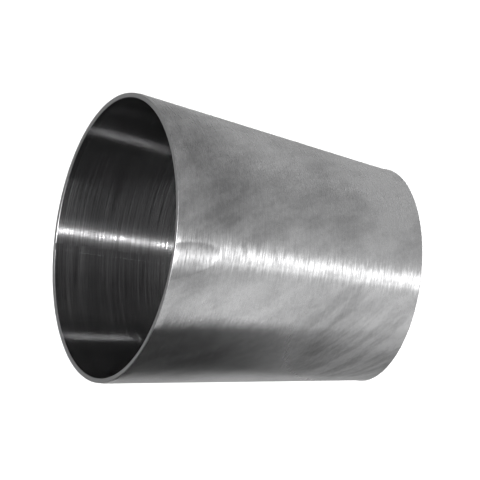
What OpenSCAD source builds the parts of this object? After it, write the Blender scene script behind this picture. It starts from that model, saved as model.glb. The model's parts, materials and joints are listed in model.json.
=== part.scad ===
// Eccentric weld reducer for thin-wall stainless tube.
// The pipe axis runs along X. The origin is the centre of the large end's face.
// The straight side of the body is at the bottom, so the two bores share their lowest line.

/* [Ends] */
// Outside diameter of the large end
large_od = 101.6; // [80:0.1:160]
// Outside diameter of the small end
small_od = 76.2; // [40:0.1:78]
// Wall thickness all over
wall = 1.65; // [1:0.05:3]

/* [Body] */
// Length from face to face
body_length = 108; // [90:1:200]
// Straight stretch at each end, turned true for the butt weld
weld_land = 2; // [1:0.5:6]

/* [Seam weld] */
// Width of the weld on the outside
seam_outside = 3.2; // [2:0.1:5]
// Width of the weld on the inside
seam_inside = 2.4; // [1.5:0.1:4]
// Height that the rolled bead stands above the inside wall
bead_crown = 0.05; // [0.03:0.01:0.3]

/* [Hidden] */
large_r = large_od / 2;
small_r = small_od / 2;
bottom_z = -large_r;
small_z = bottom_z + small_r;      // height of the small end's centre
cone_facets = 144;                 // sides of the tapered body
round_facets = 96;                 // sides of the turned lands
land_step = 0.02;                  // the taper starts this far inside the lands' surfaces
disc = 0.01;                       // thickness of the discs that the taper is stretched between
through = 1;                       // how far cutters run past the faces
crown_r = (pow(seam_inside / 2, 2) + pow(bead_crown, 2)) / (2 * bead_crown);
crown_half_angle = asin(seam_inside / 2 / crown_r);
crown_steps = 12;

// A cylinder along X from x0, its axis at height z
module rod(r, x0, length, z, facets)
    translate([x0, 0, z])
        rotate([0, 90, 0])
            cylinder(r = r, h = length, $fn = facets);

// Solid taper between the two lands; grow moves its surface outwards
module taper(grow)
    hull() {
        rod(large_r + grow, weld_land - land_step, disc, 0, cone_facets);
        rod(small_r + grow, body_length - weld_land + land_step - disc, disc, small_z, cone_facets);
    }

// Hollow tapered body, open at both ends
module taper_wall()
    difference() {
        taper(-land_step);
        taper(land_step - wall);
        rod(large_r - wall + land_step, weld_land - through, through - land_step + disc, 0, cone_facets);
        rod(small_r - wall + land_step, body_length - weld_land + land_step - disc, through, small_z, cone_facets);
    }

// One turned, straight ring
module land(r, x0, z)
    difference() {
        rod(r, x0, weld_land, z, round_facets);
        rod(r - wall, x0 - through, weld_land + 2 * through, z, round_facets);
    }

// Outline of the weld across the pipe: flat outside, sloped flanks, crowned inside
function crown_arc() = [
    for (i = [0 : crown_steps])
        let (a = crown_half_angle * (1 - 2 * i / crown_steps))
        [crown_r * sin(a), bottom_z + wall + bead_crown - crown_r * (1 - cos(a))]
];

module seam_outline()
    polygon(concat([[-seam_outside / 2, bottom_z], [seam_outside / 2, bottom_z]], crown_arc()));

// The same flanks, carried past both surfaces of the wall
module seam_gap_outline()
    let (lean = (seam_outside - seam_inside) / 2 / wall)
    polygon([
        [-seam_outside / 2 - lean * through, bottom_z - through],
        [seam_outside / 2 + lean * through, bottom_z - through],
        [seam_inside / 2 - lean * through, bottom_z + wall + through],
        [-seam_inside / 2 + lean * through, bottom_z + wall + through]
    ]);

// Carries an outline drawn in the Y-Z plane along the pipe
module along_pipe(x0, length)
    translate([x0, 0, 0])
        rotate([90, 0, 90])
            linear_extrude(height = length)
                children();

module reducer_shell()
    color("silver")
        difference() {
            union() {
                land(large_r, 0, 0);
                taper_wall();
                land(small_r, body_length - weld_land, small_z);
            }
            along_pipe(-through, body_length + 2 * through) seam_gap_outline();
        }

module seam_weld()
    color("gainsboro")
        along_pipe(0, body_length) seam_outline();

reducer_shell();
seam_weld();
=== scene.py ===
"""Looks for the eccentric weld reducer: a thin stainless shell, hand polished around the pipe,
closed by one weld along its straight side. Everything is in metres, in the part's own frame:
X runs along the pipe from the large end's face, and the straight side is at the bottom."""
import json
import math

import bpy
from mathutils import Matrix, Vector, noise


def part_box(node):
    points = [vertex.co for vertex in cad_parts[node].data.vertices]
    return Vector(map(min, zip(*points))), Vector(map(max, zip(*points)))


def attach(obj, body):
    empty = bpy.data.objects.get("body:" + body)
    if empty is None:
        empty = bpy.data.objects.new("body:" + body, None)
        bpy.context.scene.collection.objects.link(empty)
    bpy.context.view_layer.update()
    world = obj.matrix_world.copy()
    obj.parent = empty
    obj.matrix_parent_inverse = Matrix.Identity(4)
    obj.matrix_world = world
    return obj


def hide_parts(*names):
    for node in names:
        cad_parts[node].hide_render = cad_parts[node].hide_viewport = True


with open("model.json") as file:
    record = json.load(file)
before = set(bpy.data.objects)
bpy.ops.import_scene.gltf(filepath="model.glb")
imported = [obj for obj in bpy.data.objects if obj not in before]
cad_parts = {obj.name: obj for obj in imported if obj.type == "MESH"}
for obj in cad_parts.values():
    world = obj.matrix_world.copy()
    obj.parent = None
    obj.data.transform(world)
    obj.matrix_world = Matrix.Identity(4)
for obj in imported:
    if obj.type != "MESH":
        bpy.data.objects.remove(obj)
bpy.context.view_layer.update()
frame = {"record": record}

# ---------------------------------------------------------------- sizes, all from the frame
MM = 0.001
mounts = {m["name"]: m for m in frame["record"]["mounts"]}
low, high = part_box("reducer_shell")
seam_low, seam_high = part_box("seam_weld")

LENGTH = high.x - low.x
LARGE_R = mounts["large_tube_od"]["dims"]["r_mm"] * MM
SMALL_R = mounts["small_tube_od"]["dims"]["r_mm"] * MM
WALL = LARGE_R - mounts["large_bore"]["dims"]["r_mm"] * MM
LAND = mounts["large_bore"]["dims"]["length_mm"] * MM
SMALL_Z = mounts["small_bore"]["pos_m"][2]
FLOOR_Z = low.z
SEAM_OUTSIDE = (seam_high.y - seam_low.y) / 2      # half widths of the weld
SEAM_INSIDE = 0.75 * SEAM_OUTSIDE
BEAD_CROWN = seam_high.z - low.z - WALL            # how far the bead stands into the bore
MEAN_R = (LARGE_R + SMALL_R) / 2                   # turns an angle into a distance round the wall

# ---------------------------------------------------------------- sizes of the detail added here
EDGE = 0.28 * MM            # radius left on the rim by deburring
WAVE = 0.035 * MM           # depth of the unevenness left by polishing by hand
WAVE_LENGTH = 26 * MM       # distance along the pipe over which that depth changes
WAVE_LOBES = 2.6            # how often it changes round the pipe
WAVE_FADE = 8 * MM          # distance from each land over which it grows to full depth
RIPPLE = 0.2                # height of the bead's ripples, as a share of its crown
RIPPLE_PITCH = 0.9 * MM     # distance from one ripple to the next
BEAD_HEIGHT = 0.75          # height of the bead between ripples, as a share of its crown

AROUND = 480                # steps round the pipe
ALONG = 72                  # steps along the taper
EDGE_STEPS = 4              # steps round each deburred edge
SEAM_ACROSS = 10            # steps across the weld
SEAM_ALONG = 540            # steps along the weld
SHARP_ANGLE = 40            # degrees between two faces that show as a sharp edge
OUTSIDE, INSIDE, RIM = 0, 1, 2      # places in the shell's list of materials; the weld has no rim


# ---------------------------------------------------------------- shape of the wall
def smooth(t):
    t = min(max(t, 0.0), 1.0)
    return t * t * (3 - 2 * t)


def taper_share(x):
    """0 on the large land, 1 on the small land, straight in between."""
    return min(max((x - LAND) / (LENGTH - 2 * LAND), 0.0), 1.0)


def outer_radius(x):
    return LARGE_R + (SMALL_R - LARGE_R) * taper_share(x)


def centre_z(x):
    return SMALL_Z * taper_share(x)


def hand_wave(x, angle):
    """How far the polished surface lies below true, in metres. The two lands stay true."""
    place = Vector((math.cos(angle) * WAVE_LOBES, math.sin(angle) * WAVE_LOBES, x / WAVE_LENGTH))
    depth = 0.5 + 0.5 * noise.noise(place) + 0.25 * noise.noise(place * 2.7)
    fade = smooth((x - LAND) / WAVE_FADE) * smooth((LENGTH - LAND - x) / WAVE_FADE)
    return WAVE * fade * min(max(depth, 0.0), 1.2)


def on_wall(x, radius, angle):
    """A point at this distance from the pipe's axis. The angle starts at the bottom and turns to -Y."""
    return (x, -radius * math.sin(angle), centre_z(x) - radius * math.cos(angle))


def stations():
    """Places along X of the rings on each side of the wall, between the deburred edges."""
    body = [LAND + (LENGTH - 2 * LAND) * i / ALONG for i in range(ALONG + 1)]
    return [EDGE, LAND / 2] + body + [LENGTH - LAND / 2, LENGTH - EDGE]


def wall_profile():
    """The wall's outline as (x, depth below the outer surface, which part it is), once round."""
    points = [(x, 0.0, OUTSIDE) for x in stations()]

    def edge(x, depth, start):
        for i in range(1, EDGE_STEPS + 1):
            turn = math.radians(start + 90 * i / EDGE_STEPS)
            points.append((x + EDGE * math.sin(turn), depth - EDGE * math.cos(turn), RIM))

    edge(LENGTH - EDGE, EDGE, 0)
    points.append((LENGTH, WALL / 2, RIM))
    points.append((LENGTH, WALL - EDGE, RIM))
    edge(LENGTH - EDGE, WALL - EDGE, 90)
    points.extend((x, WALL, INSIDE) for x in reversed(stations()[:-1]))
    edge(EDGE, WALL - EDGE, 180)
    points.append((0.0, WALL / 2, RIM))
    points.append((0.0, EDGE, RIM))
    edge(EDGE, EDGE, 270)
    return points[:-1]          # the last point is the first one again


def shell_mesh():
    """The wall, swept round the pipe from one flank of the weld to the other. Gives the points, the
    faces, the place of each face's material, and each point's place round and along the wall."""
    profile = wall_profile()
    rows = len(profile)
    sunk_by = {OUTSIDE: 1, INSIDE: -1, RIM: 0}      # polishing lowers both sides of the wall
    verts = []
    spots = []
    for x, depth, part in profile:
        radius = outer_radius(x) - depth
        half = SEAM_OUTSIDE + (SEAM_INSIDE - SEAM_OUTSIDE) * depth / WALL
        start = math.asin(half / radius)
        for i in range(AROUND + 1):
            angle = start + (2 * math.pi - 2 * start) * i / AROUND
            verts.append(on_wall(x, radius - sunk_by[part] * hand_wave(x, angle), angle))
            spots.append((angle * MEAN_R, x))
    faces = []
    slots = []
    for row in range(rows):
        after = (row + 1) % rows
        slot = max(profile[row][2], profile[after][2])
        for i in range(AROUND):
            a, b = row * (AROUND + 1) + i, after * (AROUND + 1) + i
            faces.append((a, b, b + 1, a + 1))
            slots.append(slot)
    for i in (0, AROUND):
        flank = [row * (AROUND + 1) + i for row in range(rows)]
        for k in range(rows // 2 - 1):
            quad = (flank[k], flank[k + 1], flank[rows - 2 - k], flank[rows - 1 - k])
            faces.append(quad if i else tuple(reversed(quad)))
            slots.append(RIM)
    return verts, faces, slots, spots


def seam_mesh():
    """The weld: ground flush outside, a low rippled bead inside, between the shell's two flanks.
    Gives the same four lists as shell_mesh."""
    between = LENGTH - 2 * EDGE
    xs = [0.0, EDGE] + [EDGE + between * i / SEAM_ALONG for i in range(1, SEAM_ALONG + 1)] + [LENGTH]
    verts = []
    spots = []
    for x in xs:
        at_end = x in (0.0, LENGTH)
        trim = EDGE / 2 if at_end else 0.0          # the weld's ends are deburred with the rim
        radius = outer_radius(x)
        bore = radius - WALL
        wander = 1.3 * noise.noise(Vector((x / (7 * MM), 3.1, 0)))
        ripple = 0.0 if at_end else RIPPLE * math.sin(2 * math.pi * x / RIPPLE_PITCH + wander)
        for i in range(SEAM_ACROSS + 1):
            y = SEAM_OUTSIDE * (2 * i / SEAM_ACROSS - 1)
            verts.append((x, y, centre_z(x) - math.sqrt(radius ** 2 - y ** 2) + trim))
            spots.append((y, x))
        for i in range(SEAM_ACROSS + 1):
            share = 1 - 2 * i / SEAM_ACROSS
            y = SEAM_INSIDE * share
            crown = BEAD_CROWN * (BEAD_HEIGHT + ripple) * (1 - share ** 2)
            verts.append((x, y, centre_z(x) - math.sqrt(bore ** 2 - y ** 2) + crown - trim))
            spots.append((y, x))
    ring = 2 * (SEAM_ACROSS + 1)
    faces = []
    slots = []
    for row in range(len(xs) - 1):
        for i in range(ring):
            a, b = row * ring + i, row * ring + (i + 1) % ring
            faces.append((a, b, b + ring, a + ring))
            slots.append(INSIDE if SEAM_ACROSS < i < ring - 1 else OUTSIDE)
    last = (len(xs) - 1) * ring
    faces.append(tuple(reversed(range(ring))))
    faces.append(tuple(last + i for i in range(ring)))
    return verts, faces, slots + [OUTSIDE, OUTSIDE], spots


def make_piece(name, mesh_lists, materials):
    verts, faces, slots, spots = mesh_lists
    mesh = bpy.data.meshes.new(name)
    mesh.from_pydata(verts, [], faces)
    mesh.polygons.foreach_set("material_index", slots)
    layer = mesh.uv_layers.new(name="around_along")
    for loop in mesh.loops:
        layer.data[loop.index].uv = spots[loop.vertex_index]
    for material in materials:
        mesh.materials.append(material)
    mesh.update()
    piece = bpy.data.objects.new(name, mesh)
    bpy.context.scene.collection.objects.link(piece)
    mesh.shade_smooth()
    mesh.set_sharp_from_angle(angle=math.radians(SHARP_ANGLE))
    return piece


# ---------------------------------------------------------------- materials
NOISE_LOW, NOISE_HIGH = 0.3, 0.7        # nearly all of a noise lies between these
GROOVES_ROUND_PIPE = 0.25               # turns of the shader's tangent, which follows the UV map


class Shader:
    """A metal's node tree, with short calls for the nodes that the finishes share."""

    def __init__(self, name):
        self.material = bpy.data.materials.new(name)
        self.material.use_nodes = True
        self.tree = self.material.node_tree
        self.metal = self.tree.nodes["Principled BSDF"]
        self.metal.inputs["Metallic"].default_value = 1.0
        self.uv = self.node("ShaderNodeUVMap", uv_map="around_along").outputs["UV"]

    def node(self, kind, **settings):
        made = self.tree.nodes.new(kind)
        for key, value in settings.items():
            setattr(made, key, value)
        return made

    def link(self, out, into):
        self.tree.links.new(out, into)

    def lines(self, around, along, turn=0.0, detail=2.0, shift=0.0, rough=0.6):
        """Noise with this many features per metre round and along the pipe, turned by some degrees."""
        turned = self.node("ShaderNodeMapping", vector_type="POINT")
        turned.inputs["Rotation"].default_value = (0, 0, math.radians(turn))
        turned.inputs["Location"].default_value = (shift, shift, 0)
        self.link(self.uv, turned.inputs["Vector"])
        scaled = self.node("ShaderNodeVectorMath", operation="MULTIPLY")
        scaled.inputs[1].default_value = (around, along, 1)
        self.link(turned.outputs["Vector"], scaled.inputs[0])
        grain = self.node("ShaderNodeTexNoise", noise_dimensions="2D")
        grain.inputs["Scale"].default_value = 1.0
        grain.inputs["Detail"].default_value = detail
        grain.inputs["Roughness"].default_value = rough
        self.link(scaled.outputs["Vector"], grain.inputs["Vector"])
        return grain.outputs["Fac"]

    def fit(self, value, to_a, to_b, a=NOISE_LOW, b=NOISE_HIGH):
        """Maps a..b to to_a..to_b."""
        made = self.node("ShaderNodeMapRange", interpolation_type="SMOOTHSTEP")
        self.link(value, made.inputs["Value"])
        for key, number in zip(("From Min", "From Max", "To Min", "To Max"), (a, b, to_a, to_b)):
            made.inputs[key].default_value = number
        return made.outputs["Result"]

    def math(self, operation, a, b=0.0):
        made = self.node("ShaderNodeMath", operation=operation)
        for socket, value in zip(made.inputs, (a, b)):
            if isinstance(value, (int, float)):
                socket.default_value = value
            else:
                self.link(value, socket)
        return made.outputs["Value"]

    def add(self, *values):
        total = values[0]
        for value in values[1:]:
            total = self.math("ADD", total, value)
        return total

    def scaled(self, value, factor):
        return self.math("MULTIPLY", value, factor)

    def place_on_wall(self):
        """Distances round and along the pipe, in metres."""
        split = self.node("ShaderNodeSeparateXYZ")
        self.link(self.uv, split.inputs["Vector"])
        return split.outputs["X"], split.outputs["Y"]

    def patch(self, angle, x, wide, long, lean=0.0, soft=0.35):
        """1 inside an oval patch on the wall, fading to 0 at its edge. lean slants it along the pipe."""
        around, along = self.place_on_wall()
        across = self.math("SUBTRACT", around, math.radians(angle) * MEAN_R)
        slanted = self.add(self.math("SUBTRACT", along, x), self.scaled(across, lean))
        squares = [self.math("POWER", self.math("ABSOLUTE", self.math("DIVIDE", far, reach)), 2)
                   for far, reach in ((across, wide), (slanted, long))]
        return self.fit(self.add(*squares), 0.0, 1.0, a=1.0, b=1.0 - soft)

    def grey(self, value, dark, light):
        """A neutral colour between two greys."""
        ramp = self.node("ShaderNodeMix", data_type="RGBA")
        self.link(value, ramp.inputs["Factor"])
        ramp.inputs["A"].default_value = (dark, dark, dark * 1.012, 1)
        ramp.inputs["B"].default_value = (light, light, light * 1.008, 1)
        self.link(ramp.outputs["Result"], self.metal.inputs["Base Color"])

    def brushed(self):
        """Grooves run round the pipe, so reflections spread along it."""
        tangent = self.node("ShaderNodeTangent", direction_type="UV_MAP", uv_map="around_along")
        self.metal.inputs["Anisotropic"].default_value = 1.0
        self.metal.inputs["Anisotropic Rotation"].default_value = GROOVES_ROUND_PIPE
        self.link(tangent.outputs["Tangent"], self.metal.inputs["Tangent"])

    def normal(self, depth, distance):
        """The surface's direction with this relief; a depth of 1 lies this distance below the rest."""
        made = self.node("ShaderNodeBump", invert=True)
        made.inputs["Strength"].default_value = 1.0
        made.inputs["Distance"].default_value = distance
        self.link(depth, made.inputs["Height"])
        return made.outputs["Normal"]

    def bump(self, depth, distance, mask=None, slope=0.0):
        """Relief of the surface. Inside the mask, it also leans round the pipe by this slope."""
        surface = self.normal(depth, distance)
        if mask is not None:
            lean = self.scaled(self.place_on_wall()[0], -slope / distance)
            mix = self.node("ShaderNodeMix", data_type="VECTOR")
            self.link(mask, mix.inputs["Factor"])
            self.link(surface, mix.inputs["A"])
            self.link(self.normal(self.add(depth, lean), distance), mix.inputs["B"])
            surface = mix.outputs["Result"]
        self.link(surface, self.metal.inputs["Normal"])

    def rough(self, value):
        self.link(value, self.metal.inputs["Roughness"])


def polished_outside_with_painted_reflection():
    """Grooves round the pipe, with the patches that polishing by hand leaves, and painted reflection: on
    the +Y side of the top the grey is lighter near the small end and darker near the large end.
    """
    s = Shader("polished_outside_with_painted_reflection")
    s.brushed()
    fine = s.lines(150, 1500, detail=3)
    coarse = s.lines(170, 850, detail=3, shift=3.0, rough=0.7)
    cloud = s.lines(30, 36, detail=4, shift=7.0)
    slant = s.lines(30, 260, turn=-36, shift=1.0)
    mottle = s.lines(620, 620, shift=11.0)
    wisps = s.lines(55, 190, turn=-62, detail=4, shift=2.0)
    # cross was polished at a slant, mouth leans a little, and calm has fewer grooves than the rest.
    cross = s.patch(angle=126, x=96 * MM, wide=36 * MM, long=40 * MM, lean=0.5, soft=0.8)
    mouth = s.patch(angle=167, x=0, wide=7.5 * MM, long=17 * MM, lean=-1.6, soft=0.3)
    # Painted reflection: the next two patches make the grey lighter near the small end and darker near
    # the large end, on the +Y side of the top.
    painted_light_top_small_end = s.patch(angle=205, x=112 * MM, wide=75 * MM, long=38 * MM, soft=0.9)
    painted_shade_top_large_end = s.patch(angle=206, x=2 * MM, wide=46 * MM, long=50 * MM, soft=1.0)
    calm = s.patch(angle=98, x=30 * MM, wide=46 * MM, long=120 * MM, soft=0.5)
    scratched = s.math("MULTIPLY", s.fit(slant, -1.0, 1.0, a=0.35, b=0.65), cross)

    # The grey holds painted reflection from the lighter and darker patches on the +Y side of the top.
    tone = s.add(s.fit(cloud, 0.51, 0.88), s.fit(fine, -0.06, 0.06), s.fit(mottle, -0.055, 0.055),
                 s.fit(wisps, -0.11, 0.11), s.scaled(painted_shade_top_large_end, -0.46), s.scaled(mouth, -0.24),
                 s.scaled(painted_light_top_small_end, 0.2), s.scaled(scratched, 0.17))
    s.grey(tone, 0.32, 0.76)

    hairs = s.add(s.fit(fine, -0.03, 0.03), s.fit(coarse, 0.0, 0.055, a=0.46, b=0.72))
    kept = s.math("SUBTRACT", 1.0, s.scaled(calm, 0.75))
    s.rough(s.add(s.math("MULTIPLY", hairs, kept), 0.25, s.scaled(cross, 0.10), s.scaled(mouth, 0.04)))
    grooves = s.add(s.scaled(fine, 0.001), s.scaled(scratched, 0.002))
    s.bump(grooves, MM, mask=mouth, slope=-0.075)
    return s.material


def bore_metal_with_painted_shade():
    """The bore, with deep regular grooves. Its grey is darker than the outside's: painted shade for the
    dim inside of the pipe.
    """
    s = Shader("bore_metal_with_painted_shade")
    s.brushed()
    fine = s.lines(30, 1300, detail=3)
    cloud = s.lines(20, 24, shift=5.0)
    # Painted shade: the bore's greys are darker than the outside's.
    s.grey(s.add(s.fit(cloud, 0.1, 0.8), s.fit(fine, -0.1, 0.1)), 0.25, 0.34)
    s.rough(s.fit(fine, 0.165, 0.195, b=0.75))
    s.bump(s.lines(20, 5000, detail=1), 0.065 * MM)
    return s.material


def turned_rim_with_painted_shade():
    s = Shader("turned_rim_with_painted_shade")
    fine = s.lines(900, 900)
    # Painted shade: the rim's grey is kept dark, so that it reflects little of the light near the
    # camera.
    s.grey(fine, 0.27, 0.40)
    s.rough(s.fit(fine, 0.3, 0.45))
    s.bump(fine, 0.004 * MM)
    return s.material


def weld_metal():
    s = Shader("weld_metal")
    blotch = s.lines(600, 420, detail=3)
    s.grey(blotch, 0.36, 0.62)
    s.rough(s.fit(blotch, 0.28, 0.42))
    s.bump(s.lines(300, 1500), 0.01 * MM)
    return s.material


# ---------------------------------------------------------------- the two pieces
# The bore's material carries painted shade, and the weld's inner side uses it too.
inside = bore_metal_with_painted_shade()
shell = make_piece("polished_shell", shell_mesh(), [polished_outside_with_painted_reflection(), inside, turned_rim_with_painted_shade()])
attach(shell, "root")
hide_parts("reducer_shell")

weld = make_piece("seam_bead", seam_mesh(), [weld_metal(), inside])
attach(weld, "root")
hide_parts("seam_weld")


# ---------------------------------------------------------------- stage and light
FLOOR_HALF = 12.0           # half the floor's side, in metres
SHEET_GAP = 0.02 * MM       # height of the grey sheet over the floor
CARD_Y = -88 * MM           # the dark card stands beside the part, upright and along X
CARD_START = -400 * MM
CARD_END = 108 * MM
CARD_HEIGHT = 104 * MM
MATT = 0.9                  # roughness of the floor, the sheet and the card
ROOM_BRIGHT = 0.79          # strength of the room's light from the -Y side
ROOM_DIM = 0.455            # and from the +Y side
ROOM_CHANGE = (-0.9, 0.5)   # it changes between these, as the Y of a unit direction
KEY_AZIMUTH, KEY_ELEVATION = -76, 63


def direction(azimuth, elevation):
    """Unit vector from the part towards a place; azimuth 0 is -Y and 90 is +X."""
    a, e = math.radians(azimuth), math.radians(elevation)
    return Vector((math.sin(a) * math.cos(e), -math.cos(a) * math.cos(e), math.sin(e)))


def matt(name, grey):
    material = bpy.data.materials.new(name)
    material.use_nodes = True
    surface = material.node_tree.nodes["Principled BSDF"]
    surface.inputs["Base Color"].default_value = (grey, grey, grey, 1)
    surface.inputs["Roughness"].default_value = MATT
    surface.inputs["Specular IOR Level"].default_value = 0.0
    return material


def panel(name, corners, material):
    mesh = bpy.data.meshes.new(name)
    mesh.from_pydata(corners, [], [(0, 1, 2, 3)])
    mesh.materials.append(material)
    made = bpy.data.objects.new(name, mesh)
    bpy.context.scene.collection.objects.link(made)
    return made


def level_square(z):
    half = FLOOR_HALF
    return [(-half, -half, z), (half, -half, z), (half, half, z), (-half, half, z)]


def upright_card():
    bottom, top = FLOOR_Z, FLOOR_Z + CARD_HEIGHT
    return [(CARD_START, CARD_Y, bottom), (CARD_END, CARD_Y, bottom),
            (CARD_END, CARD_Y, top), (CARD_START, CARD_Y, top)]


def only_in_reflections(made):
    made.visible_camera = False
    made.visible_shadow = False
    made.visible_diffuse = False


def strip_light(name, place, length, width, watts):
    """A long lamp that runs along X and faces the part."""
    data = bpy.data.lights.new(name, "AREA")
    data.shape = "RECTANGLE"
    data.size, data.size_y = length, width
    data.energy = watts
    lamp = bpy.data.objects.new(name, data)
    bpy.context.scene.collection.objects.link(lamp)
    away = Vector((0, place[1], place[2])).normalized()
    lamp.matrix_world = Matrix.Translation(place) @ Matrix.Rotation(math.atan2(-away.y, away.z), 4, "X")


def key_light():
    """A small sun by the camera, so that shadows fall behind the part."""
    sun = bpy.data.lights.new("key", "SUN")
    sun.energy = 4.4
    sun.angle = math.radians(0.9)
    key = bpy.data.objects.new("key", sun)
    bpy.context.scene.collection.objects.link(key)
    key.rotation_euler = direction(KEY_AZIMUTH, KEY_ELEVATION).to_track_quat("Z", "Y").to_euler()


def world_light():
    """A grey room, brighter on the -Y side, that the camera sees as white."""
    world = bpy.data.worlds.new("room")
    world.use_nodes = True
    bpy.context.scene.world = world
    tree = world.node_tree
    tree.nodes.clear()
    place = tree.nodes.new("ShaderNodeTexCoord")
    split = tree.nodes.new("ShaderNodeSeparateXYZ")
    shade = tree.nodes.new("ShaderNodeMapRange")
    shade.inputs["From Min"].default_value = ROOM_CHANGE[0]
    shade.inputs["From Max"].default_value = ROOM_CHANGE[1]
    shade.inputs["To Min"].default_value = ROOM_BRIGHT
    shade.inputs["To Max"].default_value = ROOM_DIM
    seen = tree.nodes.new("ShaderNodeLightPath")
    mix = tree.nodes.new("ShaderNodeMix")
    mix.data_type = "FLOAT"
    mix.inputs["B"].default_value = 1.0
    room = tree.nodes.new("ShaderNodeBackground")
    room.inputs["Color"].default_value = (1, 1, 1, 1)
    out = tree.nodes.new("ShaderNodeOutputWorld")
    link = tree.links.new
    link(place.outputs["Generated"], split.inputs["Vector"])
    link(split.outputs["Y"], shade.inputs["Value"])
    link(shade.outputs["Result"], mix.inputs["A"])
    link(seen.outputs["Is Camera Ray"], mix.inputs["Factor"])
    link(mix.outputs["Result"], room.inputs["Strength"])
    link(room.outputs["Background"], out.inputs["Surface"])


panel("floor", level_square(FLOOR_Z), matt("pale_floor", 0.76))
only_in_reflections(panel("grey_sheet", level_square(FLOOR_Z + SHEET_GAP), matt("grey_card", 0.25)))
only_in_reflections(panel("dark_card", upright_card(), matt("black_card", 0.085)))
world_light()
key_light()
strip_light("overhead_strip", place=(0.5, -0.32, 1.2), length=1.5, width=0.03, watts=0.4)

# ---------------------------------------------------------------- camera
CAMERA_AIM = Vector((51.7 * MM, 5.6 * MM, -6.4 * MM))
CAMERA_AZIMUTH = -76.135
CAMERA_ELEVATION = 63.517
CAMERA_ROLL = 81.96
CAMERA_DISTANCE = 2.061
CAMERA_LENS = 439.1         # mm, on a sensor of 36 mm

lens = bpy.data.cameras.new("camera")
lens.lens = CAMERA_LENS
lens.sensor_width = 36
camera = bpy.data.objects.new("camera", lens)
bpy.context.scene.collection.objects.link(camera)
back = direction(CAMERA_AZIMUTH, CAMERA_ELEVATION)
roll = Matrix.Rotation(math.radians(CAMERA_ROLL), 4, "Z")
camera.matrix_world = (Matrix.Translation(CAMERA_AIM + back * CAMERA_DISTANCE)
                       @ back.to_track_quat("Z", "Y").to_matrix().to_4x4() @ roll)
bpy.context.scene.camera = camera
bpy.context.scene.view_settings.view_transform = "Standard"
